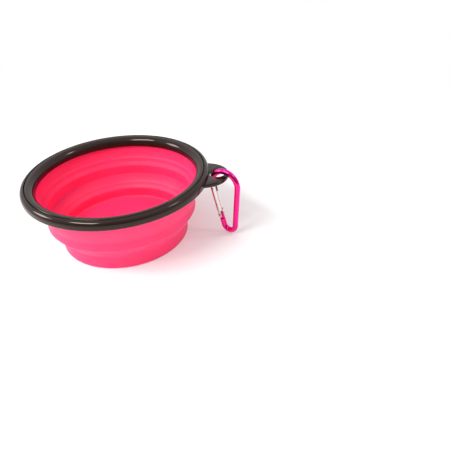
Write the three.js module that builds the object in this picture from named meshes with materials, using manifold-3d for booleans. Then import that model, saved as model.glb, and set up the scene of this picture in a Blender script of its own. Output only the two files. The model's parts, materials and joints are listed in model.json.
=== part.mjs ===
// Collapsible dog bowl: a soft stepped silicone wall clamped in a two-part plastic rim, with a hanging clip.
// Millimetres, +Z up. The origin is the centre of the base's underside, and the tab points along +X.
import * as THREE from 'three';
import { mergeVertices } from 'three/addons/utils/BufferGeometryUtils.js';
import Module from 'manifold-3d';

// Driving dimensions: rim
const rimOuterRadius = 65;
const rimWidth = 7.5;
const rimHeight = 6.3;
const rimEdgeRound = 1.6;
const rimFootRound = 1.3;
const rimEdgeDrop = 0.4;
const capWidth = 4.6;
const crownReach = 2.8;
const crownFall = 4;
const crownRoundOuter = 1.4;
const skirtThickness = 1.2;
const skirtDrop = 1.3;
const ledgeThickness = 1.5;
const seamBevel = 0.6;

// Driving dimensions: tab on the lower rim ring
const tabReach = 14.2;
const tabHalfWidth = 16.5;
const tabThickness = 2.8;
const tabEdgeRound = 0.8;
const holeReach = 10.7;
const holeWidth = 10.4;
const stripWidth = 3;

// Driving dimensions: silicone wall, from the floor up
const baseCupHeight = 10.6;
const lowerWebHeight = 9.5;
const middleRingHeight = 7;
const upperWebHeight = 9.7;
const topRingHeight = 4.7;
const upperStep = 4.8;
const lowerStep = 6.8;
const creaseDepth = 0.55;
const creaseHeight = 1.1;
const wallDraft = 0.15;
const wallThickness = 1.8;
const webThinning = 0.5;
const floorThickness = 3;
const floorFillet = 2.2;
const baseEdgeRound = 1.6;
const neckThickness = 1.2;
const beadThickness = 1.3;
const wallOverSkirt = 0.3;

// Driving dimensions: clip, along and across its gate
const rodRadius = 2;
const gateRadius = 2.4;
const clipTopRadius = 10.2;
const clipBottomRadius = 4.8;
const gateReach = 23.3;
const hookReach = 8.4;
const clipLean = 13.6;
const clipTurn = -30;
const clipInset = 1.13;
const clipSlide = -4.28;
const clipTopAcross = -0.53;
const clipTopBelow = 5.8;
const tongueThickness = 1.2;
const tongueWidth = 3.2;
const noseTongueLength = 4.2;
const latchSetback = 2.2;
const pinRadius = 0.6;
const pinHeadRadius = 1;
const pinHeadHeight = 0.3;
const gateTailLength = 2.2;
const gateEndRound = 1.2;
const gateSlotDepth = 5;
const gateHeelWidth = 0.9;
const gateHeelHeight = 3.4;
const springRadius = 0.4;
const springLength = 9;

// Clearances
const fitGap = 0.3;
const latchGap = 0.35;
const tailSwing = 0.9;

// Facets
const aroundBowl = 60;
const aroundRod = 12;
const alongRod = 46;
const aroundPin = 12;
const webSteps = 5;

// Heights worked out from the floor up
const lowerWebBottom = baseCupHeight + fitGap;
const middleRingBottom = lowerWebBottom + lowerWebHeight + fitGap;
const upperWebBottom = middleRingBottom + middleRingHeight + fitGap;
const topRingBottom = upperWebBottom + upperWebHeight + fitGap;
const shoulderHeight = topRingBottom + topRingHeight;
const skirtBottom = shoulderHeight + fitGap;
const rimBottom = skirtBottom + skirtDrop;
const ledgeTop = rimBottom + ledgeThickness;
const beadBottom = ledgeTop + fitGap;
const capUnderside = beadBottom + beadThickness + fitGap;
const rimTop = rimBottom + rimHeight;
const edgeTop = rimTop - rimEdgeDrop;

// Radii worked out from the rim's outside inward
const rimInnerRadius = rimOuterRadius - rimWidth;
const capOuterRadius = rimInnerRadius + capWidth;
const edgeInnerRadius = capOuterRadius + fitGap;
const skirtOuterRadius = rimInnerRadius + skirtThickness;
const neckInnerRadius = skirtOuterRadius + fitGap;
const neckOuterRadius = neckInnerRadius + neckThickness;
const ledgeInnerRadius = neckOuterRadius + fitGap;
const topRingInnerRadius = rimInnerRadius - wallOverSkirt;
const topRingOuterRadius = topRingInnerRadius + wallThickness;
const topRingFootRadius = topRingOuterRadius - wallDraft;
const upperCreaseRadius = topRingFootRadius - upperStep;
const middleRingRadius = upperCreaseRadius - creaseDepth;
const middleRingFootRadius = middleRingRadius - wallDraft;
const lowerCreaseRadius = middleRingFootRadius - lowerStep;
const baseCupRadius = lowerCreaseRadius - creaseDepth;

// Tab and clip places
const tabTipRadius = rimOuterRadius + tabReach;
const stripRadius = tabTipRadius - stripWidth / 2;
const holeOuterRadius = tabTipRadius - stripWidth;
const holeCentreRadius = holeOuterRadius - holeReach / 2;
const stripHeight = rimBottom + tabThickness / 2;
const lean = THREE.MathUtils.degToRad(clipLean);
const topCentreZ = stripHeight - clipTopBelow;
const slotWidth = tongueThickness + 2 * fitGap;
const pinHoleRadius = pinRadius + fitGap;
const tangRadius = tongueWidth / 2;

const wasm = await Module();
wasm.setup();

function finish(color, roughness, metalness) {
  return new THREE.MeshStandardMaterial({ color, roughness, metalness });
}

const silicone = () => finish('#ff3f74', 0.45, 0);
const rimPlastic = () => finish('#3a3433', 0.25, 0);
const anodised = () => finish('#e8208f', 0.25, 0.9);
const polishedMetal = () => finish('#c9c7c3', 0.2, 1);
const steel = () => finish('#a9a7a4', 0.3, 1);

function named(name, geometry, material) {
  const mesh = new THREE.Mesh(geometry, material);
  mesh.name = name;
  return mesh;
}

// A closed profile of [radius, height] points, turned about the Z axis.
function turned(profile, segments = aroundBowl) {
  const points = profile.map(([r, z]) => new THREE.Vector2(r, z));
  const onAxis = points[0].x === 0 && points[points.length - 1].x === 0;
  if (!onAxis) {
    points.push(points[0].clone());
  }
  const geometry = new THREE.LatheGeometry(points, segments);
  geometry.rotateX(Math.PI / 2);
  return geometry;
}

// Points of a rounded corner from one angle to another, in degrees: an oval one where its rise is given.
function corner(centreR, centreZ, radius, from, to, steps = 3, rise = radius) {
  const points = [];
  for (let i = 0; i <= steps; i += 1) {
    const angle = THREE.MathUtils.degToRad(from + ((to - from) * i) / steps);
    points.push([centreR + radius * Math.cos(angle), centreZ + rise * Math.sin(angle)]);
  }
  return points;
}

function solidOf(geometry) {
  const bare = geometry.clone();
  bare.deleteAttribute('normal');
  bare.deleteAttribute('uv');
  const merged = mergeVertices(bare, 1e-4);
  const vertProperties = new Float32Array(merged.attributes.position.array);
  const triVerts = new Uint32Array(merged.index.array);
  return new wasm.Manifold(new wasm.Mesh({ numProp: 3, vertProperties, triVerts }));
}

function geometryOf(solid) {
  const mesh = solid.getMesh();
  const geometry = new THREE.BufferGeometry();
  geometry.setAttribute('position', new THREE.BufferAttribute(new Float32Array(mesh.vertProperties), 3));
  geometry.setIndex(new THREE.BufferAttribute(new Uint32Array(mesh.triVerts), 1));
  geometry.computeVertexNormals();
  return geometry;
}

// An outline drawn across and along the gate, given a thickness through Y.
function plate(shape, thickness) {
  const settings = { depth: thickness, bevelEnabled: false, curveSegments: 5 };
  const geometry = new THREE.ExtrudeGeometry(shape, settings);
  geometry.translate(0, 0, -thickness / 2);
  geometry.rotateX(Math.PI / 2);
  return geometry;
}

// A round bar along Y, centred on a point across and along the gate.
function crossBar(across, along, radius, length) {
  const geometry = new THREE.CylinderGeometry(radius, radius, length, aroundPin);
  geometry.translate(across, 0, along);
  return geometry;
}

// Rim: the cap ring that is seen from above, with its rounded crown and the skirt inside the wall's neck.
function rimUpperRing() {
  const crownIn = rimInnerRadius + crownReach;
  const crownOut = capOuterRadius - crownRoundOuter;
  const profile = [
    [skirtOuterRadius, skirtBottom],
    [skirtOuterRadius, capUnderside],
    [capOuterRadius, capUnderside],
    ...corner(crownOut, rimTop - crownRoundOuter, crownRoundOuter, 0, 90),
    ...corner(crownIn, rimTop - crownFall, crownReach, 90, 180, 5, crownFall),
    [rimInnerRadius, skirtBottom],
  ];
  return turned(profile);
}

// Tab: a flat half-oval tongue with an oval hole, drawn in plan, its root sunk in the ring's wall.
function tabPlate() {
  const rootRadius = (edgeInnerRadius + rimOuterRadius) / 2;
  const half = tabHalfWidth - tabEdgeRound;
  const rootAngle = Math.asin(half / rootRadius);
  const centre = rootRadius * Math.cos(rootAngle);
  const reach = tabTipRadius - tabEdgeRound - centre;
  const outline = new THREE.Shape();
  outline.absellipse(centre, 0, reach, half, -Math.PI / 2, Math.PI / 2, false, 0);
  outline.absarc(0, 0, rootRadius, rootAngle, -rootAngle, true);
  const hole = new THREE.Path();
  const holeX = holeReach / 2 + tabEdgeRound;
  const holeY = holeWidth / 2 + tabEdgeRound;
  hole.absellipse(holeCentreRadius, 0, holeX, holeY, 0, 2 * Math.PI, true, 0);
  outline.holes.push(hole);
  const geometry = new THREE.ExtrudeGeometry(outline, {
    depth: tabThickness - 2 * tabEdgeRound,
    bevelEnabled: true,
    bevelSize: tabEdgeRound,
    bevelThickness: tabEdgeRound,
    bevelSegments: 2,
    curveSegments: 10,
  });
  geometry.translate(0, 0, rimBottom + tabEdgeRound);
  return geometry;
}

// Rim: the outer ring, an angle section whose ledge hooks under the wall's bead, with the tab moulded on.
function rimLowerRing() {
  const foot = rimFootRound;
  const edge = rimEdgeRound;
  const profile = [
    [ledgeInnerRadius, rimBottom],
    ...corner(rimOuterRadius - foot, rimBottom + foot, foot, 270, 360, 2),
    ...corner(rimOuterRadius - edge, edgeTop - edge, edge, 0, 90),
    [edgeInnerRadius + seamBevel, edgeTop],
    [edgeInnerRadius, edgeTop - seamBevel],
    [edgeInnerRadius, ledgeTop],
    [ledgeInnerRadius, ledgeTop],
  ];
  const ring = solidOf(turned(profile));
  return geometryOf(ring.add(solidOf(tabPlate())));
}

// Wall thickness at a share of a web's height: full at its ends and thinned between, where it folds.
function webThickness(share) {
  return wallThickness - webThinning * Math.sin(Math.PI * share);
}

// A fold web's outer point and the inner point square to it, at a share of its height from its foot.
function webSection(footRadius, footHeight, step, height, share) {
  const quarter = (Math.PI / 2) * share;
  const outer = [footRadius + step * Math.sin(quarter), footHeight + height * share];
  const slope = (step * Math.cos(quarter) * Math.PI) / 2 / height;
  const size = Math.hypot(1, slope);
  const thick = webThickness(share);
  const inner = [outer[0] - thick / size, outer[1] + (thick * slope) / size];
  return { outer, inner };
}

function foldWeb(footRadius, footHeight, step, height) {
  const outside = [];
  const inside = [];
  for (let i = 0; i <= webSteps; i += 1) {
    const { outer, inner } = webSection(footRadius, footHeight, step, height, i / webSteps);
    outside.push(outer);
    inside.unshift(inner);
  }
  return turned([...outside, ...inside]);
}

// Silicone: the ring under the rim, whose thin neck and bead are clamped between the two rim rings.
function wallTopRing() {
  const beadOuterRadius = edgeInnerRadius - fitGap;
  const profile = [
    [topRingFootRadius, topRingBottom],
    [topRingOuterRadius, shoulderHeight - creaseHeight],
    [neckOuterRadius, shoulderHeight + creaseHeight / 2],
    [neckOuterRadius, beadBottom],
    [beadOuterRadius, beadBottom],
    [beadOuterRadius, beadBottom + beadThickness],
    [neckInnerRadius, beadBottom + beadThickness],
    [neckInnerRadius, shoulderHeight],
    [topRingInnerRadius, shoulderHeight],
    [topRingFootRadius - wallThickness, topRingBottom],
  ];
  return turned(profile);
}

// The slanted top of a ring, just under the foot of the web above it.
function ringTop(creaseRadius, webFoot, step, height) {
  const { outer, inner } = webSection(creaseRadius, webFoot, step, height, 0);
  return [[outer[0], outer[1] - fitGap], [inner[0], inner[1] - fitGap]];
}

// Silicone: the stiff ring between the two folds.
function wallMiddleRing() {
  const [crease, ridge] = ringTop(upperCreaseRadius, upperWebBottom, upperStep, upperWebHeight);
  const profile = [
    [middleRingFootRadius, middleRingBottom],
    [middleRingRadius, crease[1] - creaseHeight],
    crease,
    ridge,
    [middleRingRadius - wallThickness, crease[1] - creaseHeight / 2],
    [middleRingFootRadius - wallThickness, middleRingBottom],
  ];
  return turned(profile);
}

// Silicone: the cup at the bottom, with the flat floor that the bowl stands on.
function baseCup() {
  const [crease, ridge] = ringTop(lowerCreaseRadius, lowerWebBottom, lowerStep, lowerWebHeight);
  const foot = baseCupRadius - wallDraft;
  const innerFoot = foot - wallThickness;
  const profile = [
    [0, 0],
    ...corner(foot - baseEdgeRound, baseEdgeRound, baseEdgeRound, 270, 360, 2),
    [baseCupRadius, crease[1] - creaseHeight],
    crease,
    ridge,
    [baseCupRadius - wallThickness, crease[1] - creaseHeight / 2],
    ...corner(innerFoot - floorFillet, floorThickness + floorFillet, floorFillet, 0, -90),
    [0, floorThickness],
  ];
  return turned(profile);
}

// An arc in the clip's plane, across along X and along the gate along Z.
class ClipArc extends THREE.Curve {
  constructor(centreX, centreZ, radius, from, to) {
    super();
    Object.assign(this, { centreX, centreZ, radius, from, to });
  }

  getPoint(t, target = new THREE.Vector3()) {
    const angle = this.from + (this.to - this.from) * t;
    const x = this.centreX + this.radius * Math.cos(angle);
    const z = this.centreZ + this.radius * Math.sin(angle);
    return target.set(x, 0, z);
  }
}

// The clip's pear outline: two round bends joined by a straight spine, open on the gate's side.
function clipPath() {
  const top = new THREE.Vector3(clipTopRadius, 0, gateReach + latchGap);
  const bottom = new THREE.Vector3(clipBottomRadius, 0, -hookReach);
  const between = Math.atan2(bottom.z - top.z, bottom.x - top.x);
  const spineAngle = 2 * between + Math.PI;
  const topBend = new ClipArc(top.x, top.z, clipTopRadius, Math.PI, spineAngle);
  const bottomBend = new ClipArc(bottom.x, bottom.z, clipBottomRadius, spineAngle, -Math.PI);
  const shoulder = new THREE.Vector3(0, 0, -gateTailLength - tailSwing);
  const path = new THREE.CurvePath();
  path.add(topBend);
  path.add(new THREE.LineCurve3(topBend.getPoint(1), bottomBend.getPoint(0)));
  path.add(bottomBend);
  path.add(new THREE.LineCurve3(bottomBend.getPoint(1), shoulder));
  return path;
}

// The flat tang that the gate turns on: a plate with a round end about the hinge rivet, flush with the rod
// on the loop's side.
function hingeTang() {
  const root = -(gateTailLength + tailSwing + rodRadius / 2);
  const shape = new THREE.Shape();
  shape.moveTo(-tangRadius, root);
  shape.lineTo(rodRadius, root);
  shape.lineTo(rodRadius, tangRadius / 2);
  shape.lineTo(rodRadius / 2, tangRadius);
  shape.lineTo(0, tangRadius);
  shape.absarc(0, 0, tangRadius, Math.PI / 2, Math.PI, false);
  return solidOf(plate(shape, tongueThickness));
}

// The nose's flat tongue, with the open notch that the latch pin drops into from the loop's side.
function noseTongue() {
  const root = gateReach + latchGap + rodRadius / 2;
  const tip = gateReach - noseTongueLength;
  const notch = gateReach - latchSetback;
  const shape = new THREE.Shape();
  shape.moveTo(-tangRadius, root);
  shape.lineTo(-tangRadius, tip + tangRadius / 2);
  shape.lineTo(-tangRadius / 2, tip);
  shape.lineTo(tangRadius / 2, tip);
  shape.lineTo(tangRadius, tip + tangRadius / 2);
  shape.lineTo(tangRadius, notch - pinHoleRadius);
  shape.absarc(0, notch, pinHoleRadius, -Math.PI / 2, -1.5 * Math.PI, true);
  shape.lineTo(tangRadius, notch + pinHoleRadius);
  shape.lineTo(tangRadius, root);
  return solidOf(plate(shape, tongueThickness));
}

// Clip: the bent rod with its two flattened ends.
function carabinerBody() {
  const section = new THREE.Shape();
  section.absarc(0, 0, rodRadius, 0, 2 * Math.PI, false);
  const rod = new THREE.ExtrudeGeometry(section, {
    steps: alongRod,
    curveSegments: aroundRod,
    extrudePath: clipPath(),
  });
  const pinHole = solidOf(crossBar(0, 0, pinHoleRadius, 2 * tongueThickness));
  const ends = hingeTang().subtract(pinHole).add(noseTongue());
  return geometryOf(solidOf(rod).add(ends));
}

// Clip: the straight gate bar, forked at both ends, cut back at its heel and bored for the return spring.
function carabinerGate() {
  const round = gateEndRound;
  const tail = -gateTailLength;
  const profile = [
    [0, tail],
    ...corner(gateRadius - round, tail + round, round, 270, 360, 3),
    ...corner(gateRadius - seamBevel / 2, gateReach - seamBevel / 2, seamBevel / 2, 0, 90, 1),
    [0, gateReach],
  ];
  const bar = solidOf(turned(profile, aroundRod));
  const wide = 3 * gateRadius;
  const slot = (from, to) => {
    const box = new THREE.BoxGeometry(wide, slotWidth, to - from);
    box.translate(0, 0, (from + to) / 2);
    return solidOf(box);
  };
  const boreRadius = springRadius + fitGap;
  const springRoom = new THREE.CylinderGeometry(boreRadius, boreRadius, springLength, aroundPin);
  springRoom.rotateX(Math.PI / 2);
  springRoom.translate(0, 0, tangRadius + 2 * fitGap + springLength / 2);
  const heel = new THREE.BoxGeometry(gateRadius, wide, gateHeelHeight - tail + rodRadius);
  heel.translate(gateHeelWidth + gateRadius / 2, 0, (gateHeelHeight + tail - rodRadius) / 2);
  const topSlot = slot(gateReach - noseTongueLength - fitGap, gateReach + rodRadius);
  const tailSlot = slot(tail - rodRadius, gateSlotDepth);
  const hingeHole = solidOf(crossBar(0, 0, pinHoleRadius, wide));
  const latchHole = solidOf(crossBar(0, gateReach - latchSetback, pinHoleRadius, wide));
  const slots = topSlot.add(tailSlot).add(solidOf(heel));
  const holes = hingeHole.add(latchHole).add(solidOf(springRoom));
  return geometryOf(bar.subtract(slots).subtract(holes));
}

// A rivet across the gate, with a low round head on each side.
function crossRivet(along) {
  const seat = gateRadius + fitGap / 2;
  const end = seat + pinHeadHeight;
  const profile = [
    [0, -end],
    [pinHeadRadius / 2, -end],
    [pinHeadRadius, -seat],
    [pinRadius, -seat],
    [pinRadius, seat],
    [pinHeadRadius, seat],
    [pinHeadRadius / 2, end],
    [0, end],
  ];
  const geometry = turned(profile, aroundPin);
  geometry.rotateX(Math.PI / 2);
  geometry.translate(0, 0, along);
  return geometry;
}

// The wire that pushes the gate shut: it stands on the tang and runs up the gate's bore.
function gateSpring() {
  const foot = tangRadius + fitGap;
  const length = springLength - fitGap;
  const geometry = new THREE.CylinderGeometry(springRadius, springRadius, length, aroundPin);
  geometry.rotateX(Math.PI / 2);
  geometry.translate(0, 0, foot + length / 2);
  return geometry;
}

const rim = new THREE.Group();
rim.add(named('rim_upper_ring', rimUpperRing(), rimPlastic()));
rim.add(named('rim_lower_ring', rimLowerRing(), rimPlastic()));

const wall = new THREE.Group();
const upperWeb = foldWeb(upperCreaseRadius, upperWebBottom, upperStep, upperWebHeight);
const lowerWeb = foldWeb(lowerCreaseRadius, lowerWebBottom, lowerStep, lowerWebHeight);
wall.add(named('wall_top_ring', wallTopRing(), silicone()));
wall.add(named('upper_fold_web', upperWeb, silicone()));
wall.add(named('wall_middle_ring', wallMiddleRing(), silicone()));
wall.add(named('lower_fold_web', lowerWeb, silicone()));
wall.add(named('base_cup', baseCup(), silicone()));

// The clip hangs on the tab's outer strip, leaning so that its gate side is nearest the bowl. It sits to one
// side of the oval hole, square to the strip there.
const clip = new THREE.Group();
const gateTop = new THREE.Vector2(-clipTopRadius, -(gateReach + latchGap));
clip.rotation.y = -lean;
clip.position.x = clipTopAcross + gateTop.x * Math.cos(lean) - gateTop.y * Math.sin(lean);
clip.position.z = topCentreZ + gateTop.x * Math.sin(lean) + gateTop.y * Math.cos(lean);
clip.add(named('carabiner_body', carabinerBody(), anodised()));
clip.add(named('carabiner_gate', carabinerGate(), polishedMetal()));
clip.add(named('gate_hinge_rivet', crossRivet(0), steel()));
clip.add(named('gate_latch_pin', crossRivet(gateReach - latchSetback), steel()));
clip.add(named('gate_spring', gateSpring(), steel()));

const hanger = new THREE.Group();
hanger.position.set(stripRadius - clipInset, clipSlide, 0);
hanger.rotation.z = THREE.MathUtils.degToRad(clipTurn);
hanger.add(clip);

const bowl = new THREE.Group();
bowl.add(rim, wall, hanger);

export default bowl;
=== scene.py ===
import bpy
import bmesh
import json
import math
from mathutils import Matrix, Vector


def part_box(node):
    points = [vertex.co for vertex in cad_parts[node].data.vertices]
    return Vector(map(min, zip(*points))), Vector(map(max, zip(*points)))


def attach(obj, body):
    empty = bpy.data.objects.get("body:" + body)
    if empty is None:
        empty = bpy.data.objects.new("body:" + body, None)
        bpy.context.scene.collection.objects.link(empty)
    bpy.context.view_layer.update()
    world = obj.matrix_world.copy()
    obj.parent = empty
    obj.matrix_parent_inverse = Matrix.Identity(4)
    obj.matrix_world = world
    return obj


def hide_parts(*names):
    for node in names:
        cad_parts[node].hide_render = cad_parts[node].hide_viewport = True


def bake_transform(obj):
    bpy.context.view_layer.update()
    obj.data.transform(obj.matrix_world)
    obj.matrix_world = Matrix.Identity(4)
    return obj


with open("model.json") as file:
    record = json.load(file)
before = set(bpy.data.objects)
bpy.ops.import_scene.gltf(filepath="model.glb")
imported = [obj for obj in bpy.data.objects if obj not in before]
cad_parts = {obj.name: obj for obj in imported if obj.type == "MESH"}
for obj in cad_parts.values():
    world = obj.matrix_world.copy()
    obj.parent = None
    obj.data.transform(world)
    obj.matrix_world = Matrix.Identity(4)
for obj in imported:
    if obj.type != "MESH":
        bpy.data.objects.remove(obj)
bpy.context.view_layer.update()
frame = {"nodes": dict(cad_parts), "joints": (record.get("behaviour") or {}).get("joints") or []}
scene = bpy.context.scene
mm = 0.001  # lengths below are millimetres unless a name says otherwise
weld = 1e-7  # points nearer than this are one, in metres
onAxis = 1e-6  # a point nearer the axis than this lies on it
sharpAngle = 38  # edges that turn by more than this stay sharp
print("frame loaded:", len(frame["nodes"]), "nodes")


def radiusOf(node):
    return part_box(node)[1].y / mm  # the rings are round, and nothing on them reaches further along Y


def heightsOf(node):
    low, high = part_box(node)
    return low.z / mm, high.z / mm


def jointPlace(name):
    return Vector(next(j["pos_m"] for j in frame["joints"] if j["name"] == name))


# An sRGB hex code as the linear colour that shaders take
def hexToLinear(code):
    parts = [int(code[i:i + 2], 16) / 255 for i in (1, 3, 5)]
    return [p / 12.92 if p <= 0.04045 else ((p + 0.055) / 1.055) ** 2.4 for p in parts] + [1]


def setInputs(tree, node, inputs):
    for name, value in inputs.items():
        if isinstance(value, bpy.types.NodeSocket):
            tree.links.new(value, node.inputs[name])
        else:
            node.inputs[name].default_value = value


def addNode(tree, kind, settings=None, inputs=None):
    node = tree.nodes.new(kind)
    for name, value in (settings or {}).items():
        setattr(node, name, value)
    setInputs(tree, node, inputs or {})
    return node


def newMaterial(name):
    material = bpy.data.materials.new(name)
    material.use_nodes = True
    tree = material.node_tree
    tree.nodes.clear()
    where = addNode(tree, "ShaderNodeTexCoord").outputs["Object"]
    shader = addNode(tree, "ShaderNodeBsdfPrincipled")
    addNode(tree, "ShaderNodeOutputMaterial", None, {"Surface": shader.outputs["BSDF"]})
    return material, tree, where, shader


def perMetre(size):
    return 1 / (size * mm)  # a texture's scale from the real size of its grain


# Camera: where the photograph was taken from, with its lens for a 36 mm wide square frame
cameraSettings = {
    "place": (94.0, -306.1, 209.8),
    "yaw": 2.71,
    "pitchDown": 34.02,
    "roll": -2.915,
    "lens": 39.48,
    "sensor": 36,
    "shiftX": -0.0155,
    "nearest": 10,
}

cameraData = bpy.data.cameras.new("camera")
cameraData.lens = cameraSettings["lens"]
cameraData.sensor_width = cameraSettings["sensor"]
cameraData.shift_x = cameraSettings["shiftX"]
cameraData.clip_start = cameraSettings["nearest"] * mm
camera = bpy.data.objects.new("camera", cameraData)
scene.collection.objects.link(camera)
camera.matrix_world = (
    Matrix.Translation(Vector(cameraSettings["place"]) * mm)
    @ Matrix.Rotation(math.radians(cameraSettings["yaw"]), 4, "Z")
    @ Matrix.Rotation(math.radians(90 - cameraSettings["pitchDown"]), 4, "X")
    @ Matrix.Rotation(math.radians(cameraSettings["roll"]), 4, "Z")
)
scene.camera = camera
print("camera placed")


# Outlines: corners are (radius, height, rounding), turned into close points
outlineSettings = {
    "straight": 1.55,  # half angle in radians; a wider corner stays a plain point
    "runShare": 0.48,  # the most of a run that one rounding may take
    "arcStep": 13,  # degrees
}


def softOutline(corners, spacing):
    points = []
    for i, (r, z, rounding) in enumerate(corners):
        here = Vector((r, z))
        before = Vector(corners[i - 1][:2]) - here
        after = Vector(corners[(i + 1) % len(corners)][:2]) - here
        half = before.angle(after) / 2
        if rounding == 0 or half > outlineSettings["straight"]:
            points.append(here)
            continue
        longest = outlineSettings["runShare"] * min(before.length, after.length)
        reach = min(rounding / math.tan(half), longest)
        before.normalize()
        after.normalize()
        centre = here + (before + after).normalized() * reach / math.cos(half)
        first = here + before * reach - centre
        last = here + after * reach - centre
        turn = math.pi - 2 * half
        steps = max(2, math.ceil(turn / math.radians(outlineSettings["arcStep"])))
        for k in range(steps + 1):
            a, b = math.sin(turn * (1 - k / steps)), math.sin(turn * k / steps)
            points.append(centre + (first * a + last * b) / math.sin(turn))
    return closePoints(points, spacing)


def fillRun(here, after, spacing):
    steps = max(1, math.ceil((after - here).length / spacing))
    return [here.lerp(after, k / steps) for k in range(steps)]


def closePoints(points, spacing):
    filled = []
    for here, after in zip(points, points[1:] + points[:1]):
        closing = here.x == 0 and after.x == 0  # the run along the axis stays empty
        filled += [here] if closing else fillRun(here, after, spacing)
    return filled


def ovalArc(centreR, centreZ, across, rise, start, end, step=6):
    count = math.ceil(abs(end - start) / step)
    angles = [math.radians(start + (end - start) * k / count) for k in range(count + 1)]
    return [(centreR + across * math.cos(a), centreZ + rise * math.sin(a), 0) for a in angles]


def newPiece(name, bm):
    bmesh.ops.remove_doubles(bm, verts=bm.verts, dist=weld)
    bmesh.ops.recalc_face_normals(bm, faces=bm.faces)
    mesh = bpy.data.meshes.new(name)
    bm.to_mesh(mesh)
    bm.free()
    piece = bpy.data.objects.new(name, mesh)
    scene.collection.objects.link(piece)
    smooth(piece)
    return piece


def smooth(piece):
    piece.data.shade_smooth()
    piece.data.set_sharp_from_angle(angle=math.radians(sharpAngle))


# A stack of rings with as many points each, skinned into a closed mesh; a ring of one point is a tip
def skin(name, rings, joinEnds=False, capEnds=False):
    bm = bmesh.new()
    loops = [[bm.verts.new(Vector(p) * mm) for p in ring] for ring in rings]
    for low, high in zip(loops, loops[1:] + (loops[:1] if joinEnds else [])):
        count = max(len(low), len(high))
        for i in range(count):
            j = (i + 1) % count
            if len(low) == 1:
                bm.faces.new((low[0], high[j], high[i]))
            elif len(high) == 1:
                bm.faces.new((low[i], low[j], high[0]))
            else:
                bm.faces.new((low[i], low[j], high[j], high[i]))
    if capEnds:
        bm.faces.new(loops[0])
        bm.faces.new(loops[-1])
    return newPiece(name, bm)


def fullTurn(count):
    return [2 * math.pi * k / count for k in range(count)]


def turned(name, outline, segments):
    turns = fullTurn(segments)
    rings = []
    for r, z in outline:
        if r < onAxis:
            rings.append([(0, 0, z)])
        else:
            rings.append([(r * math.cos(a), r * math.sin(a), z) for a in turns])
    return skin(name, rings, joinEnds=len(rings[0]) > 1)


def combine(piece, tool, operation):
    step = piece.modifiers.new("shape", "BOOLEAN")
    step.operation = operation
    step.solver = "EXACT"
    step.object = tool
    bakeModifiers(piece)
    bpy.data.objects.remove(tool)


def bakeModifiers(piece):
    graph = bpy.context.evaluated_depsgraph_get()
    mesh = bpy.data.meshes.new_from_object(piece.evaluated_get(graph))
    piece.modifiers.clear()
    piece.data = mesh


# Slivers that cuts and bevels leave, with sides shorter than the given length, are closed up
def dropSlivers(piece, shortest=0.002):
    bm = bmesh.new()
    bm.from_mesh(piece.data)
    bmesh.ops.dissolve_degenerate(bm, edges=bm.edges, dist=shortest * mm)
    bm.to_mesh(piece.data)
    bm.free()


# Silicone bowl: one soft moulding whose wall steps in twice, with a thin fold between the steps
bowlShape = {
    "wall": 1.8,
    "foldThinning": 0.5,
    "upperCone": 0.6,  # a fold's share of straight cone, and the rest of round bulge
    "lowerCone": 0.85,
    "upperFoldTop": 41.8,
    "foldSteps": 40,
    "draft": 0.15,
    "edgeRound": 0.4,
    "beadThickness": 1.3,
    "beadInset": 0.6,
    "neckInner": 59.0,
    "neckOuter": 60.2,
    "neckRound": 0.3,
    "topInner": 57.2,
    "topRound": 1.2,
    "shoulder": 43.45,
    "shoulderRound": 0.6,
    "seatRound": 0.2,  # inner corner that the rim's skirt sits in
    "footDrop": 0.3,  # short upright foot of each fold
    "footRound": 0.5,
    "tuckDepth": 0.55,  # how far the wall tucks in under each fold
    "tuckHeight": 1.1,
    "tuckRound": 0.9,
    "ridge": 0.22,  # fine ridge inside, partway up each fold
    "ridgeAt": 0.4,
    "ridgeShare": 0.06,
    "dip": 0.15,  # shallow hollow under the ridge
    "dipAt": 0.2,
    "lipRound": 1.8,  # rounded lip inside at the foot of each fold
    "lipSteps": 6,
    "groove": 0.6,  # how far the wall is hollowed inside, under each lip
    "grooveRound": 1.0,
    "grooveFootRound": 0.8,
    "floor": 4.0,
    "floorFillet": 1.8,
    "baseEdge": 1.6,
    "cutReach": 4.5,  # how far from the cut between the two walls the light stays shallow
    "spacing": 0.5,
    "segments": 216,
}


# Outer point of a fold and the inner one square to it, at a share of its height from the foot
def foldPoints(shape, cone, footR, topR, low, high, share):
    quarter = math.pi / 2 * share
    outward = cone * share + (1 - cone) * math.sin(quarter)
    outer = Vector((footR + (topR - footR) * outward, low + (high - low) * share))
    flare = cone + (1 - cone) * math.cos(quarter) * math.pi / 2
    slope = (topR - footR) * flare / (high - low)
    ridge = shape["ridge"] * math.exp(-((share - shape["ridgeAt"]) / shape["ridgeShare"]) ** 2)
    dip = shape["dip"] * math.exp(-((share - shape["dipAt"]) / shape["ridgeShare"]) ** 2)
    thick = shape["wall"] - shape["foldThinning"] * math.sin(math.pi * share) + ridge - dip
    inner = outer + Vector((-1, slope)).normalized() * thick
    return outer, inner


def foldSides(shape, cone, footR, topR, low, high):
    count = shape["foldSteps"]
    pairs = [foldPoints(shape, cone, footR, topR, low, high, k / count) for k in range(count + 1)]
    outside = [(*outer, 0) for outer, inner in reversed(pairs)]
    inside = [(*inner, 0) for outer, inner in pairs[shape["lipSteps"]:]]
    return outside, [(*pairs[0][1], shape["lipRound"]), *inside]


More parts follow.
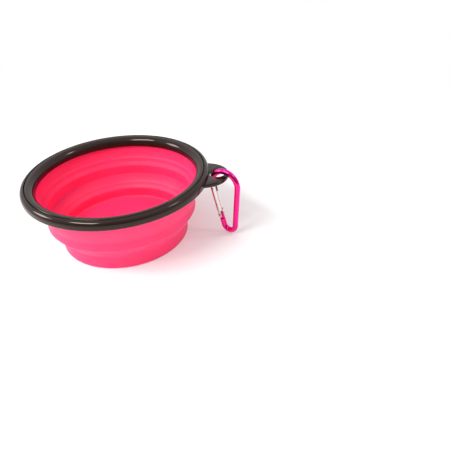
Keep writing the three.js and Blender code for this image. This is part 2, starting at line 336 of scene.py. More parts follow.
def upperWallOutline(shape, seam):
    wall, draft, tuck = shape["wall"], shape["draft"], shape["tuckHeight"]
    beadR, beadTop = radiusOf("wall_top_ring") - shape["beadInset"], heightsOf("wall_top_ring")[1]
    beadLow = beadTop - shape["beadThickness"]
    low, high = heightsOf("upper_fold_web")[0], shape["upperFoldTop"]
    footR, topR = radiusOf("wall_middle_ring"), radiusOf("upper_fold_web")
    outside, inside = foldSides(shape, shape["upperCone"], footR, topR, low, high)
    ringR = footR - shape["tuckDepth"]
    hollow = ringR - wall + shape["groove"]
    shoulder, foot = shape["shoulder"], low - shape["footDrop"]
    return softOutline([
        (beadR, beadTop, shape["edgeRound"]),
        (beadR, beadLow, shape["edgeRound"]),
        (shape["neckOuter"], beadLow, shape["neckRound"]),
        (shape["neckOuter"], shoulder + tuck / 2, shape["shoulderRound"]),
        (shape["topInner"] + wall, shoulder - tuck, shape["topRound"]),
        *outside,
        (footR, foot, shape["footRound"]),
        (ringR, foot - tuck, shape["tuckRound"]),
        (ringR - draft, seam, 0),
        (ringR - draft - wall, seam, 0),
        (hollow - draft, seam + tuck, shape["grooveFootRound"]),
        (hollow, low - tuck, shape["grooveRound"]),
        *inside,
        (shape["topInner"], shoulder, shape["edgeRound"]),
        (shape["neckInner"], shoulder, shape["seatRound"]),
        (shape["neckInner"], beadTop, shape["edgeRound"]),
    ], shape["spacing"])


def lowerWallOutline(shape, seam):
    wall, draft, tuck = shape["wall"], shape["draft"], shape["tuckHeight"]
    low, high = heightsOf("lower_fold_web")
    footR, topR = radiusOf("base_cup"), radiusOf("lower_fold_web")
    outside, inside = foldSides(shape, shape["lowerCone"], footR, topR, low, high)
    cupR = footR - shape["tuckDepth"]
    hollow = cupR - wall + shape["groove"]
    foot = low - shape["footDrop"]
    return softOutline([
        (0, 0, 0),
        (cupR - draft, 0, shape["baseEdge"]),
        (cupR, foot - tuck, shape["tuckRound"]),
        (footR, foot, shape["footRound"]),
        *reversed(outside),
        (topR, seam, 0),
        (topR - wall, seam, 0),
        *reversed(inside),
        (hollow, low - tuck, shape["grooveRound"]),
        (hollow - draft, shape["floor"], shape["floorFillet"]),
        (0, shape["floor"], 0),
    ], shape["spacing"])


# How far each point is from the cut between the two walls, as a share of the reach
def markCut(piece, height, reach):
    marks = piece.data.attributes.new("cutDistance", "FLOAT", "POINT").data
    for vertex, mark in zip(piece.data.vertices, marks):
        mark.value = min(1, abs(vertex.co.z / mm - height) / reach)


seamHeight = (heightsOf("lower_fold_web")[1] + heightsOf("wall_middle_ring")[0]) / 2
upperWall = turned("silicone_wall_upper", upperWallOutline(bowlShape, seamHeight), bowlShape["segments"])
lowerWall = turned("silicone_wall_lower", lowerWallOutline(bowlShape, seamHeight), bowlShape["segments"])
for wall in (upperWall, lowerWall):
    markCut(wall, seamHeight, bowlShape["cutReach"])
print("silicone wall modelled")


# Rim: a rounded cap over an outer ring, with a fine seam between them
rimShape = {
    "seamInset": 0.5,  # the seam drawn a little further in than the solids have it
    "seamGap": 0.6,
    "capWidth": 6.0,
    "crownReach": 4.6,
    "crownFall": 5.2,
    "crownRound": 0.9,
    "skirtLift": 0.85,
    "skirtThickness": 1.2,
    "skirtRound": 0.5,
    "fitGap": 0.3,
    "undersideRound": 0.2,
    "seamRound": 0.7,
    "swell": 0.3,  # how far the ring stands proud of its solid, which has sharper edges
    "shoulderReach": 3.0,
    "shoulderFall": 3.5,
    "shoulderTurn": 78,
    "footDrop": 0.2,
    "footRound": 1.8,
    "ledgeThickness": 1.5,
    "ledgeInner": 60.5,
    "ledgeRound": 0.3,
    "rabbetRound": 0.15,
    "spacing": 0.6,
    "segments": 256,
}


def capOutline(shape):
    outer = radiusOf("rim_upper_ring") - shape["seamInset"]
    low, top = heightsOf("rim_upper_ring")
    low += shape["skirtLift"]
    inner = outer - shape["capWidth"]
    underside = heightsOf("wall_top_ring")[1] + shape["fitGap"]
    skirt = inner + shape["skirtThickness"]
    reach, fall = shape["crownReach"], shape["crownFall"]
    return softOutline([
        (skirt, low, shape["skirtRound"]),
        (skirt, underside, shape["undersideRound"]),
        (outer, underside, shape["undersideRound"]),
        (outer, top, shape["crownRound"]),
        *ovalArc(inner + reach, top - fall, reach, fall, 90, 180),
        (inner, low, shape["skirtRound"]),
    ], shape["spacing"])


def ringOutline(shape):
    outer = radiusOf("rim_lower_ring") + shape["swell"]
    low, top = heightsOf("rim_lower_ring")
    low -= shape["footDrop"]
    top += shape["swell"]
    inner = radiusOf("rim_upper_ring") - shape["seamInset"] + shape["seamGap"]
    ledge = low + shape["ledgeThickness"]
    reach, fall = shape["shoulderReach"], shape["shoulderFall"]
    return softOutline([
        (shape["ledgeInner"], low, shape["ledgeRound"]),
        (outer, low, shape["footRound"]),
        *ovalArc(outer - reach, top - fall, reach, fall, 0, shape["shoulderTurn"]),
        (inner, top, shape["seamRound"]),
        (inner, ledge, shape["rabbetRound"]),
        (shape["ledgeInner"], ledge, shape["rabbetRound"]),
    ], shape["spacing"])


rimCap = turned("rim_cap", capOutline(rimShape), rimShape["segments"])
rimRing = turned("rim_outer_ring", ringOutline(rimShape), rimShape["segments"])

# Tab: a flat half-oval ear on the outer ring, with an oval hole for the clip
tabShape = {
    "halfWidth": 16.5,
    "rootCentre": 61.7,
    "thickness": 2.8,
    "edgeRound": 0.9,
    "rootFillet": 1.6,
    "filletSteps": 6,
    "touchFrom": 45,  # the fillet begins between these turns from the tip
    "touchTo": 100,
    "halvings": 40,
    "rootSteps": 6,
    "stripWidth": 3.0,
    "holeReach": 10.7,
    "holeWidth": 10.4,
    "holeRound": 0.7,
    "holeTurn": 78,  # how far round its lip goes before the face cuts it
    "holeFlare": 1.0,
    "holeOverrun": 0.4,
    "holeSteps": 72,
    "steps": 44,
    "roundSteps": 5,
}


# Half of the ear's outline, from its tip to the fillet that meets the ring, as points and outward normals
def tabHalfOutline(shape, ringR, tip):
    centre, half, fillet = shape["rootCentre"], shape["halfWidth"], shape["rootFillet"]
    reach = tip - centre

    def onOval(angle):
        point = Vector((centre + reach * math.cos(angle), half * math.sin(angle)))
        normal = Vector((half * math.cos(angle), reach * math.sin(angle))).normalized()
        return point, normal

    low, high = math.radians(shape["touchFrom"]), math.radians(shape["touchTo"])
    for _ in range(shape["halvings"]):  # halve the range until the fillet's circle touches the ring
        middle = (low + high) / 2
        point, normal = onOval(middle)
        low, high = (middle, high) if (point + normal * fillet).length > ringR + fillet else (low, middle)
    side = [onOval(low * k / shape["steps"]) for k in range(shape["steps"] + 1)]
    point, normal = side[-1]
    pivot = point + normal * fillet
    start = math.atan2(-normal.y, -normal.x)
    end = math.atan2(-pivot.y, -pivot.x)
    for k in range(1, shape["filletSteps"] + 1):
        angle = start + (end - start) * k / shape["filletSteps"]
        outward = Vector((math.cos(angle), math.sin(angle)))
        side.append((pivot + outward * fillet, -outward))
    return side


def tabPlate(shape, ringR, tip, low):
    side = tabHalfOutline(shape, ringR, tip)
    rootR = ringR - shape["edgeRound"]
    rootAngle = math.atan2(side[-1][0].y, side[-1][0].x)
    count = shape["rootSteps"]
    rootTurns = [rootAngle * (1 - k / count) for k in range(2 * count + 1)]
    root = [(Vector((math.cos(a), math.sin(a))) * rootR, Vector((0, 0))) for a in rootTurns]
    mirrored = [(Vector((p.x, -p.y)), Vector((n.x, -n.y))) for p, n in reversed(side[1:])]
    outline = side + root + mirrored
    edge, steps = shape["edgeRound"], shape["roundSteps"]
    levels = []
    for k in range(steps + 1):
        angle = math.pi / 2 * k / steps
        levels.append((edge * (1 - math.sin(angle)), low + edge * (1 - math.cos(angle))))
    top = 2 * low + shape["thickness"]
    levels += [(inset, top - height) for inset, height in reversed(levels)]
    rings = [[(*(p - n * inset), height) for p, n in outline] for inset, height in levels]
    return skin("tab_plate", rings, capEnds=True)


# The hole's cutter flares at both faces, so that the cut leaves a rounded lip
def tabHoleCutter(shape, tip, low):
    centre = tip - shape["stripWidth"] - shape["holeReach"] / 2
    lip, steps = shape["holeRound"], shape["roundSteps"]
    levels = [(lip + shape["holeFlare"], low - shape["holeOverrun"])]
    for k in range(steps, -1, -1):
        angle = math.radians(shape["holeTurn"]) * k / steps
        levels.append((lip * (1 - math.cos(angle)), low + lip * (1 - math.sin(angle))))
    top = 2 * low + shape["thickness"]
    levels += [(grow, top - height) for grow, height in reversed(levels)]
    turns = fullTurn(shape["holeSteps"])
    rings = []
    for grow, height in levels:
        across, along = shape["holeReach"] / 2 + grow, shape["holeWidth"] / 2 + grow
        rings.append([(centre + across * math.cos(a), along * math.sin(a), height) for a in turns])
    return skin("tab_hole", rings, capEnds=True)


ringRadius = radiusOf("rim_lower_ring")
ringLow = heightsOf("rim_lower_ring")[0]
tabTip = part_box("rim_lower_ring")[1].x / mm
combine(rimRing, tabPlate(tabShape, ringRadius, tabTip, ringLow), "UNION")
combine(rimRing, tabHoleCutter(tabShape, tabTip, ringLow), "DIFFERENCE")
smooth(rimRing)
print("rim and tab modelled")


# Clip: a bent rod with a sprung gate, drawn across and along the gate from its hinge
clipShape = {
    "rod": 2.0,
    "topBend": 10.2,
    "bottomBend": 4.8,
    "gateReach": 23.3,
    "hookReach": 8.4,
    "latchGap": 0.35,
    "tail": 2.2,
    "tailSwing": 0.9,
    "lean": 13.6,
    "turn": -30,
    "endRound": 0.45,
    "endSteps": 4,
    "tongue": 1.2,
    "tongueHalf": 1.6,
    "tangInset": 0.05,
    "tangRound": 1.2,
    "tangBackRound": 1.55,
    "noseTongue": 4.2,
    "noseRound": 0.8,
    "latchSetback": 2.2,
    "notchRound": 0.2,
    "notchEase": 0.02,  # keeps the notch's two roundings from meeting in one point
    "pinHole": 0.75,
    "drill": 4,
    "step": 0.45,
    "around": 36,
}
gateShape = {
    "radius": 2.4,
    "endRound": 1.2,
    "topRound": 0.35,
    "slot": 1.8,
    "slotDepth": 5.0,
    "tongueRoom": 0.3,
    "heelWidth": 0.9,
    "heelHeight": 3.4,
    "bore": 0.7,
    "boreGap": 0.6,
    "boreDepth": 9.0,
    "boreSteps": 24,
    "edgeBevel": 0.12,
    "bevelSteps": 2,
    "bevelFrom": 40,  # edges that turn by more than this are bevelled
    "spacing": 0.5,
    "around": 40,
}
clipMatrix = (
    Matrix.Translation(jointPlace("gate_hinge"))
    @ Matrix.Rotation(math.radians(clipShape["turn"]), 4, "Z")
    @ Matrix.Rotation(-math.radians(clipShape["lean"]), 4, "Y")
)


def clipRoute(shape):
    top = Vector((shape["topBend"], shape["gateReach"] + shape["latchGap"]))
    bottom = Vector((shape["bottomBend"], -shape["hookReach"]))
    spine = 2 * math.atan2(bottom.y - top.y, bottom.x - top.x) + math.pi
    route = []
    for centre, radius, start, end in (
        (top, shape["topBend"], math.pi, spine),
        (bottom, shape["bottomBend"], spine, -math.pi),
    ):
        count = math.ceil(abs(end - start) * radius / shape["step"])
        turns = [start + (end - start) * k / count for k in range(count + 1)]
        route += [centre + Vector((math.cos(a), math.sin(a))) * radius for a in turns]
    route.append(Vector((0, -shape["tail"] - shape["tailSwing"])))
    filled = []
    for here, after in zip(route, route[1:]):
        filled += fillRun(here, after, shape["step"])
    return filled + route[-1:]


def clipRod(shape):
    route = clipRoute(shape)
    last = len(route) - 1
    turns = fullTurn(shape["around"])

    def ringAt(i, along, radius):
        ahead = (route[min(i + 1, last)] - route[max(i - 1, 0)]).normalized()
        place = route[i] + ahead * along
        side = Vector((-ahead.y, ahead.x))
        spots = [(place + side * radius * math.cos(a), radius * math.sin(a)) for a in turns]
        return [(p.x, y, p.y) for p, y in spots]

    rounding, steps = shape["endRound"], shape["endSteps"]
    ends = []
    for k in range(steps):
        angle = math.pi / 2 * k / steps
        radius = shape["rod"] - rounding * (1 - math.sin(angle))
        ends.append((rounding * (1 - math.cos(angle)), radius))
    rings = [ringAt(0, along, radius) for along, radius in ends]
    rings += [ringAt(i, 0, shape["rod"]) for i in range(2, last - 1)]
    rings += [ringAt(last, -along, radius) for along, radius in reversed(ends)]
    return skin("clip_body", rings, capEnds=True)


# A flat plate across Y with softened edges, from corners given across and along the gate
def flatPlate(name, corners, thickness, edge=0.15, spacing=0.4):
    outline = softOutline(corners, spacing)
    count = len(outline)
    inward = []
    for i in range(count):
        run = outline[(i + 1) % count] - outline[i - 1]
        inward.append(Vector((-run.y, run.x)).normalized() * edge)
    half = thickness / 2
    levels = ((1, -half), (0, edge - half), (0, half - edge), (1, half))
    rings = [[((p + n * w).x, y, (p + n * w).y) for p, n in zip(outline, inward)] for w, y in levels]
    return skin(name, rings, capEnds=True)


def crossBar(name, along, radius, length, around=32):
    turns = fullTurn(around)
    ends = (-length / 2, length / 2)
    rings = [[(radius * math.cos(a), y, along + radius * math.sin(a)) for a in turns] for y in ends]
    return skin(name, rings, capEnds=True)


def blockAt(name, low, high):
    xs, ys, zs = zip(low, high)
    base = ((xs[0], ys[0]), (xs[1], ys[0]), (xs[1], ys[1]), (xs[0], ys[1]))
    return skin(name, [[(x, y, z) for x, y in base] for z in zs], capEnds=True)


def hingeTang(shape):
    half, rod = shape["tongueHalf"], shape["rod"]
    root = -(shape["tail"] + shape["tailSwing"] + rod / 2)
    front = rod - shape["tangInset"]
    corners = [
        (-half, root, 0),
        (front, root, 0),
        (front, half, shape["tangRound"]),
        (-half, half, shape["tangBackRound"]),
    ]
    return flatPlate("tang", corners, shape["tongue"])


def noseTongue(shape):
    half, hole = shape["tongueHalf"], shape["pinHole"]
    root = shape["gateReach"] + shape["latchGap"] + shape["rod"] / 2
    tip = shape["gateReach"] - shape["noseTongue"]
    notch = shape["gateReach"] - shape["latchSetback"]
    notchEnd = hole - shape["notchEase"]
    corners = [
        (-half, root, 0),
        (-half, tip, shape["noseRound"]),
        (half, tip, shape["noseRound"]),
        (half, notch - hole, shape["notchRound"]),
        (-hole, notch - hole, notchEnd),
        (-hole, notch + hole, notchEnd),
        (half, notch + hole, shape["notchRound"]),
        (half, root, 0),
    ]
    return flatPlate("tongue", corners, shape["tongue"])


def gateBar(clip, gate):
    reach, tail, rod = clip["gateReach"], -clip["tail"], gate["radius"]
    corners = [(0, tail, 0), (rod, tail, gate["endRound"]), (rod, reach, gate["topRound"]), (0, reach, 0)]
    bar = turned("clip_gate", softOutline(corners, gate["spacing"]), gate["around"])
    wide, half = 3 * rod, gate["slot"] / 2  # the cutters reach well past the bar
    slotLow = reach - clip["noseTongue"] - gate["tongueRoom"]
    boreLow = clip["tongueHalf"] + gate["boreGap"]
    notch = reach - clip["latchSetback"]
    combine(bar, blockAt("slot", (-wide, -half, slotLow), (wide, half, reach + rod)), "DIFFERENCE")
    combine(bar, blockAt("slot", (-wide, -half, tail - rod), (wide, half, gate["slotDepth"])), "DIFFERENCE")
    heelLow = (gate["heelWidth"], -wide, tail - rod)
    combine(bar, blockAt("heel", heelLow, (wide, wide, gate["heelHeight"])), "DIFFERENCE")
    boreRing = [(gate["bore"] * math.cos(a), gate["bore"] * math.sin(a)) for a in fullTurn(gate["boreSteps"])]
    bore = [[(x, y, z) for x, y in boreRing] for z in (boreLow, boreLow + gate["boreDepth"])]
    combine(bar, skin("bore", bore, capEnds=True), "DIFFERENCE")
    for along in (0, notch):
        combine(bar, crossBar("hole", along, clip["pinHole"], wide), "DIFFERENCE")
    bevel = bar.modifiers.new("edges", "BEVEL")
    bevel.width = gate["edgeBevel"] * mm
    bevel.segments = gate["bevelSteps"]
    bevel.limit_method = "ANGLE"
    bevel.angle_limit = math.radians(gate["bevelFrom"])
    bakeModifiers(bar)
    dropSlivers(bar)
    smooth(bar)
    return bar


# Rivets: a plain shank with a low domed head on each side of the gate
rivetShape = {
    "shank": 0.6,
    "head": 1.0,
    "dome": 0.3,
    "domeStep": 15,
    "seat": 2.52,
    "spacing": 0.4,
    "around": 32,
}


def crossRivet(name, shape, along):
    head, seat, dome = shape["head"], shape["seat"], shape["dome"]
    cap = [(r, seat + z, 0) for r, z, _ in ovalArc(0, 0, head, dome, 0, 90, shape["domeStep"])]
    cap[-1] = (0, seat + dome, 0)
    foot = [(r, -z, 0) for r, z, _ in reversed(cap)]
    corners = [*foot, (shape["shank"], -seat, 0), (shape["shank"], seat, 0), *cap]
    rivet = turned(name, softOutline(corners, shape["spacing"]), shape["around"])
    rivet.data.transform(Matrix.Translation((0, 0, along * mm)) @ Matrix.Rotation(math.pi / 2, 4, "X"))
    return rivet


# Gate spring: a fine coil in the gate's bore, pressing on the tang
springShape = {
    "coil": 0.45,
    "wire": 0.12,
    "wireSides": 6,
    "turns": 14,
    "turnSteps": 14,
    "foot": 2.1,
    "length": 8.6,
}


def springCoil(shape):
    count = shape["turns"] * shape["turnSteps"]
    sides = fullTurn(shape["wireSides"])
    up = Vector((0, 0, 1))
    rings = []
    for k in range(count + 1):
        turn = 2 * math.pi * k / shape["turnSteps"]
        out = Vector((math.cos(turn), math.sin(turn), 0))
        place = out * shape["coil"] + up * (shape["foot"] + shape["length"] * k / count)
        rings.append([place + (out * math.cos(a) + up * math.sin(a)) * shape["wire"] for a in sides])
    return skin("gate_coil", rings, capEnds=True)


clipBody = clipRod(clipShape)
tang = hingeTang(clipShape)
combine(tang, crossBar("hole", 0, clipShape["pinHole"], clipShape["drill"]), "DIFFERENCE")
combine(clipBody, tang, "UNION")
combine(clipBody, noseTongue(clipShape), "UNION")
smooth(clipBody)
clipGate = gateBar(clipShape, gateShape)
hingeRivet = crossRivet("gate_hinge_pin", rivetShape, 0)
latchPin = crossRivet("gate_latch_bar", rivetShape, clipShape["gateReach"] - clipShape["latchSetback"])
gateCoil = springCoil(springShape)
clipBody.data.transform(clipMatrix)
for piece in (clipGate, hingeRivet, latchPin, gateCoil):
    piece.matrix_world = clipMatrix  # kept on the object, so that drawn lines run along the gate
print("clip modelled")


# A colour that drifts between two tones in soft clouds
def mottledTint(tree, where, look):
    clouds = addNode(tree, "ShaderNodeTexNoise", None, {
        "Vector": where, "Scale": perMetre(look["cloud"]), "Detail": look["cloudDetail"]})
    return addNode(tree, "ShaderNodeMix", {"data_type": "RGBA"}, {
        "Factor": clouds.outputs["Fac"], "A": hexToLinear(look["dark"]), "B": hexToLinear(look["light"])})


# Moulded silicone rubber, pigmented pink: a soft satin skin with a faint moulded grain; red light sinks in
# and comes out again, so folds and shaded sides glow redder than the faces
siliconeLook = {
    "light": "#ff3d78",
    "dark": "#ff3571",
    "cloud": 24,
    "cloudDetail": 2,
    "grain": 0.4,  # about 0.1 mm on the real moulding, drawn coarser so that it shows
    "grainHeight": 0.02,
    "grainStrength": 0.06,
    "smooth": 0.42,
    "rough": 0.54,
    "ior": 1.41,
    "sinks": 0.8,  # share of the light that goes under the skin
    "spread": (1.0, 0.1, 0.2),
    "depth": 2.6,
    "cutDepth": 0.05,  # depth beside the cut between the two walls
}


def mouldedSilicone(look):
    material, tree, where, shader = newMaterial("moulded_silicone_pink")
    tint = mottledTint(tree, where, look)
    grain = addNode(tree, "ShaderNodeTexNoise", None, {
        "Vector": where, "Scale": perMetre(look["grain"]), "Detail": 3})
    sheen = addNode(tree, "ShaderNodeMapRange", None, {
        "Value": grain.outputs["Fac"], "To Min": look["smooth"], "To Max": look["rough"]})
    bump = addNode(tree, "ShaderNodeBump", None, {
        "Height": grain.outputs["Fac"],
        "Strength": look["grainStrength"],
        "Distance": look["grainHeight"] * mm,
    })
    # light that sank in would be lost where the moulding is cut in two, so it stays near the skin there
    cut = addNode(tree, "ShaderNodeAttribute", {"attribute_name": "cutDistance"})
    depth = addNode(tree, "ShaderNodeMapRange", None, {
        "Value": cut.outputs["Fac"], "To Min": look["cutDepth"] * mm, "To Max": look["depth"] * mm})
    setInputs(tree, shader, {
        "Base Color": tint.outputs["Result"],
        "Roughness": sheen.outputs["Result"],
        "Normal": bump.outputs["Normal"],
        "IOR": look["ior"],
        "Subsurface Weight": look["sinks"],
        "Subsurface Radius": look["spread"],
        "Subsurface Scale": depth.outputs["Result"],
    })
    return material


# Polypropylene, moulded in a polished tool: a very dark warm grey gloss with a slight orange peel; its
# reflections have a painted warm tint
polypropyleneLook = {
    "light": "#261a16",
    "dark": "#1f1512",
    # painted warm tint on the reflections, standing in for the warm light and pink bowl they pick up
    "sheen": "#ffe7df",
    "cloud": 15,
    "cloudDetail": 3,
    "peel": 2.5,
    "peelHeight": 0.02,
    "peelStrength": 0.05,
    "rub": 6,  # soft patches where handling has dulled the gloss
    "rubSwirl": 1.5,
    "rubFrom": 0.35,
    "rubTo": 0.7,
    "smooth": 0.08,
    "rough": 0.15,
    "ior": 1.49,
    "specular": 0.42,
}


def mouldedPolypropylene(look):
    material, tree, where, shader = newMaterial("moulded_polypropylene_charcoal")
    tint = mottledTint(tree, where, look)
    peel = addNode(tree, "ShaderNodeTexNoise", None, {
        "Vector": where, "Scale": perMetre(look["peel"]), "Detail": 1})
    rubs = addNode(tree, "ShaderNodeTexNoise", None, {
        "Vector": where, "Scale": perMetre(look["rub"]), "Detail": 4, "Distortion": look["rubSwirl"]})
    gloss = addNode(tree, "ShaderNodeMapRange", None, {
        "Value": rubs.outputs["Fac"],
        "From Min": look["rubFrom"],
        "From Max": look["rubTo"],
        "To Min": look["smooth"],
        "To Max": look["rough"],
    })
    bump = addNode(tree, "ShaderNodeBump", None, {
        "Height": peel.outputs["Fac"],
        "Strength": look["peelStrength"],
        "Distance": look["peelHeight"] * mm,
    })
    setInputs(tree, shader, {
        "Base Color": tint.outputs["Result"],
        "Roughness": gloss.outputs["Result"],
        "Normal": bump.outputs["Normal"],
        "IOR": look["ior"],
        "Specular IOR Level": look["specular"],
        # the painted warm tint on the reflections
        "Specular Tint": hexToLinear(look["sheen"]),
    })
    return material


# Anodised aluminium rod, dyed magenta and tumbled: a bright coloured metal with a fine satin break-up
anodisedLook = {
    "light": "#fb3a9c",
    "dark": "#ec1f84",
    "cloud": 6,
    "cloudDetail": 3,
    "tumble": 0.35,  # about 0.1 mm on a real rod, drawn coarser so that it shows
    "tumbleHeight": 0.02,
    "tumbleStrength": 0.06,
    "smooth": 0.1,
    "rough": 0.22,
}


def anodisedAluminium(look):
    material, tree, where, shader = newMaterial("anodised_aluminium_magenta")
    tint = mottledTint(tree, where, look)
    tumble = addNode(tree, "ShaderNodeTexNoise", None, {
        "Vector": where, "Scale": perMetre(look["tumble"]), "Detail": 3})
    gloss = addNode(tree, "ShaderNodeMapRange", None, {
        "Value": tumble.outputs["Fac"], "To Min": look["smooth"], "To Max": look["rough"]})
    bump = addNode(tree, "ShaderNodeBump", None, {
        "Height": tumble.outputs["Fac"],
        "Strength": look["tumbleStrength"],
        "Distance": look["tumbleHeight"] * mm,
    })
    setInputs(tree, shader, {
        "Base Color": tint.outputs["Result"],
        "Roughness": gloss.outputs["Result"],
        "Normal": bump.outputs["Normal"],
        "Metallic": 1,
    })
    return material


# Bright metal, drawn lengthwise: clear reflections broken by fine lines along the piece; the lines are about
# 0.05 mm wide, drawn at 0.2 mm so that they show
aluminiumLook = {
    "light": "#e2e0dc",
    "dark": "#cfccc6",
    "smooth": 0.12,
    "rough": 0.24,
    "line": 0.2,
    "stretch": 25,  # how many times longer than wide a line is
}
steelLook = {
    "light": "#bdbab5",
    "dark": "#a39f9a",
    "smooth": 0.2,
    "rough": 0.34,
    "line": 0.2,
    "stretch": 25,
}


def drawnMetal(name, look):
    material, tree, where, shader = newMaterial(name)
    along = addNode(tree, "ShaderNodeMapping", None, {"Vector": where, "Scale": (1, 1, 1 / look["stretch"])})
    lines = addNode(tree, "ShaderNodeTexNoise", None, {
        "Vector": along.outputs["Vector"], "Scale": perMetre(look["line"]), "Detail": 3})
    tint = addNode(tree, "ShaderNodeMix", {"data_type": "RGBA"}, {
        "Factor": lines.outputs["Fac"], "A": hexToLinear(look["dark"]), "B": hexToLinear(look["light"])})
    gloss = addNode(tree, "ShaderNodeMapRange", None, {
        "Value": lines.outputs["Fac"], "To Min": look["smooth"], "To Max": look["rough"]})
    setInputs(tree, shader, {
        "Base Color": tint.outputs["Result"],
        "Roughness": gloss.outputs["Result"],
        "Metallic": 1,
    })
    return material


silicone = mouldedSilicone(siliconeLook)
charcoal = mouldedPolypropylene(polypropyleneLook)
magenta = anodisedAluminium(anodisedLook)
polished = drawnMetal("polished_aluminium", aluminiumLook)
pinSteel = drawnMetal("drawn_steel", steelLook)

for piece, material, slot in (
    (upperWall, silicone, "silicone"),
    (lowerWall, silicone, "silicone"),
    (rimCap, charcoal, "rim_plastic"),
    (rimRing, charcoal, "rim_plastic"),
    (clipBody, magenta, "anodised_aluminium"),
    (clipGate, polished, "polished_aluminium"),
    (hingeRivet, pinSteel, "pin_steel"),
    (latchPin, pinSteel, "pin_steel"),
    (gateCoil, pinSteel, "pin_steel"),
):
    piece.data.materials.clear()
    piece.data.materials.append(material)
print("materials made")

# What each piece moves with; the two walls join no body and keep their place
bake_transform(upperWall)
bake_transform(lowerWall)
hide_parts("wall_top_ring", "upper_fold_web", "wall_middle_ring")
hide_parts("lower_fold_web", "base_cup")
for piece, body, node in (
    (rimCap, "rim", "rim_upper_ring"),
    (rimRing, "rim", "rim_lower_ring"),
    (clipBody, "clip", "carabiner_body"),
    (clipGate, "gate", "carabiner_gate"),
    (hingeRivet, "gate", "gate_hinge_rivet"),
    (latchPin, "gate", "gate_latch_pin"),
    (gateCoil, "gate", "gate_spring"),
):
    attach(piece, body)
    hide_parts(node)
print("pieces joined to their bodies")


# Studio: a white sweep of floor in a soft white room, with three lamps that give the rim its highlights
studio = {
    "floorRadius": 2600,
    "floorDrop": 0.05,
    "floorSteps": 96,
    "white": "#ffffff",
    "fibre": 3,  # length of the paper's fibres
    "paperSmooth": 0.85,
    "paperRough": 0.95,
    "paperSpecular": 0.1,
    "paperLift": 0.2,  # share of plain white that the camera sees in the paper
    "whiteFrom": 180,  # and how far from the bowl it grows to all of it
    "whiteBy": 520,
    "fillFrom": (-0.75, -0.66, 0),  # the side that the soft fill is strongest from
    "fillNear": 0.98,
    "fillFar": 0.5,
    "dimFront": 0.2,  # the room behind the camera, as gloss shows it
    "brightBack": 0.85,
    "dimUpTo": -0.75,
    "brightFrom": 0.3,
    "heightShare": 0.45,  # how much looking up counts as looking back
    "lamps": [
        {"name": "frontLeft", "place": (-446, -446, 901), "width": 480, "height": 180, "power": 6.0},
        {"name": "left", "place": (-870, 0, 530), "width": 300, "height": 300, "power": 3.2},
        {"name": "right", "place": (680, 0, 730), "width": 150, "height": 150, "power": 0.9},
    ],
}


# Matt paper, uncoated: no gloss, and it whitens away from the bowl as an overexposed sweep does
def mattPaper(look):
    material, tree, where, shader = newMaterial("matt_paper")
    fibre = addNode(tree, "ShaderNodeTexNoise", None, {
        "Vector": where, "Scale": perMetre(look["fibre"]), "Detail": 3})
    gloss = addNode(tree, "ShaderNodeMapRange", None, {
        "Value": fibre.outputs["Fac"], "To Min": look["paperSmooth"], "To Max": look["paperRough"]})
    setInputs(tree, shader, {
        "Base Color": hexToLinear(look["white"]),
        "Roughness": gloss.outputs["Result"],
        "Specular IOR Level": look["paperSpecular"],
    })
    rays = addNode(tree, "ShaderNodeLightPath").outputs
    looks = addNode(tree, "ShaderNodeMath", {"operation": "MAXIMUM"}, {
        0: rays["Is Camera Ray"], 1: rays["Is Transmission Ray"]})
    seen = addNode(tree, "ShaderNodeMath", {"operation": "MAXIMUM"}, {
        0: looks.outputs[0], 1: rays["Is Glossy Ray"]})
    away = addNode(tree, "ShaderNodeVectorMath", {"operation": "LENGTH"}, {0: where})
    lift = addNode(tree, "ShaderNodeMapRange", {"interpolation_type": "SMOOTHSTEP"}, {
        "Value": away.outputs["Value"],
        "From Min": look["whiteFrom"] * mm,
        "From Max": look["whiteBy"] * mm,
        "To Min": look["paperLift"],
    })
    share = addNode(tree, "ShaderNodeMath", {"operation": "MULTIPLY"}, {
        0: seen.outputs[0], 1: lift.outputs["Result"]})
    plain = addNode(tree, "ShaderNodeEmission")
    both = addNode(tree, "ShaderNodeMixShader", None, {
        0: share.outputs[0], 1: shader.outputs["BSDF"], 2: plain.outputs["Emission"]})
    setInputs(tree, tree.get_output_node("ALL"), {"Surface": both.outputs[0]})
    return material


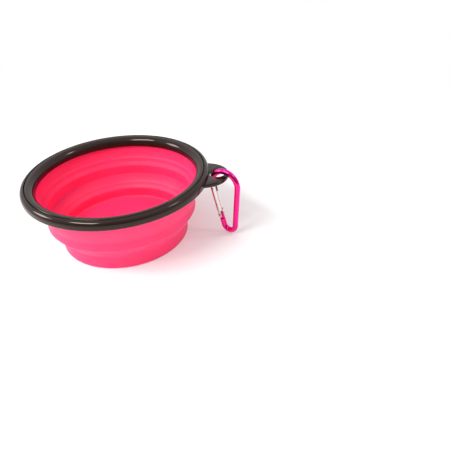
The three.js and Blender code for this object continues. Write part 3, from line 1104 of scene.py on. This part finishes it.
# White where the camera looks past the floor, a soft fill on the bowl, and for gloss a bright back
def studioRoom(look):
    world = bpy.data.worlds.new("studio")
    world.use_nodes = True
    tree = world.node_tree
    tree.nodes.clear()
    rays = addNode(tree, "ShaderNodeLightPath").outputs
    towards = addNode(tree, "ShaderNodeTexCoord").outputs["Generated"]
    parts = addNode(tree, "ShaderNodeSeparateXYZ", None, {"Vector": towards}).outputs
    back = addNode(tree, "ShaderNodeMath", {"operation": "MULTIPLY_ADD"}, {
        0: parts["Z"], 1: look["heightShare"], 2: parts["Y"]})
    room = addNode(tree, "ShaderNodeMapRange", {"interpolation_type": "SMOOTHSTEP"}, {
        "Value": back.outputs[0],
        "From Min": look["dimUpTo"],
        "From Max": look["brightFrom"],
        "To Min": look["dimFront"],
        "To Max": look["brightBack"],
    })
    facing = addNode(tree, "ShaderNodeVectorMath", {"operation": "DOT_PRODUCT"}, {
        0: towards, 1: look["fillFrom"]})
    fill = addNode(tree, "ShaderNodeMapRange", None, {
        "Value": facing.outputs["Value"],
        "From Min": -1,
        "To Min": look["fillFar"],
        "To Max": look["fillNear"],
    })
    ambient, gloss, plain = [
        addNode(tree, "ShaderNodeBackground", None, {
            "Color": hexToLinear(look["white"]), "Strength": strength})
        for strength in (fill.outputs["Result"], room.outputs["Result"], 1)
    ]
    seen = addNode(tree, "ShaderNodeMath", {"operation": "MAXIMUM"}, {
        0: rays["Is Camera Ray"], 1: rays["Is Transmission Ray"]})
    lit = addNode(tree, "ShaderNodeMixShader", None, {
        0: rays["Is Glossy Ray"], 1: ambient.outputs[0], 2: gloss.outputs[0]})
    mixed = addNode(tree, "ShaderNodeMixShader", None, {
        0: seen.outputs[0], 1: lit.outputs[0], 2: plain.outputs[0]})
    addNode(tree, "ShaderNodeOutputWorld", None, {"Surface": mixed.outputs[0]})
    return world


floorReach, floorHeight = studio["floorRadius"], -studio["floorDrop"]
floorTurns = fullTurn(studio["floorSteps"])
floorEdge = [(floorReach * math.cos(a), floorReach * math.sin(a), floorHeight) for a in floorTurns]
floor = skin("floor", [[(0, 0, floorHeight)], floorEdge])
floor.data.materials.append(mattPaper(studio))

for lamp in studio["lamps"]:
    light = bpy.data.lights.new(lamp["name"], "AREA")
    light.shape = "RECTANGLE"
    light.size = lamp["width"] * mm
    light.size_y = lamp["height"] * mm
    light.energy = lamp["power"]
    holder = bpy.data.objects.new(lamp["name"], light)
    scene.collection.objects.link(holder)
    holder.location = Vector(lamp["place"]) * mm
    holder.rotation_euler = (-holder.location).to_track_quat("-Z", "Y").to_euler()

scene.world = studioRoom(studio)
scene.view_settings.view_transform = "Standard"
print("studio lit")
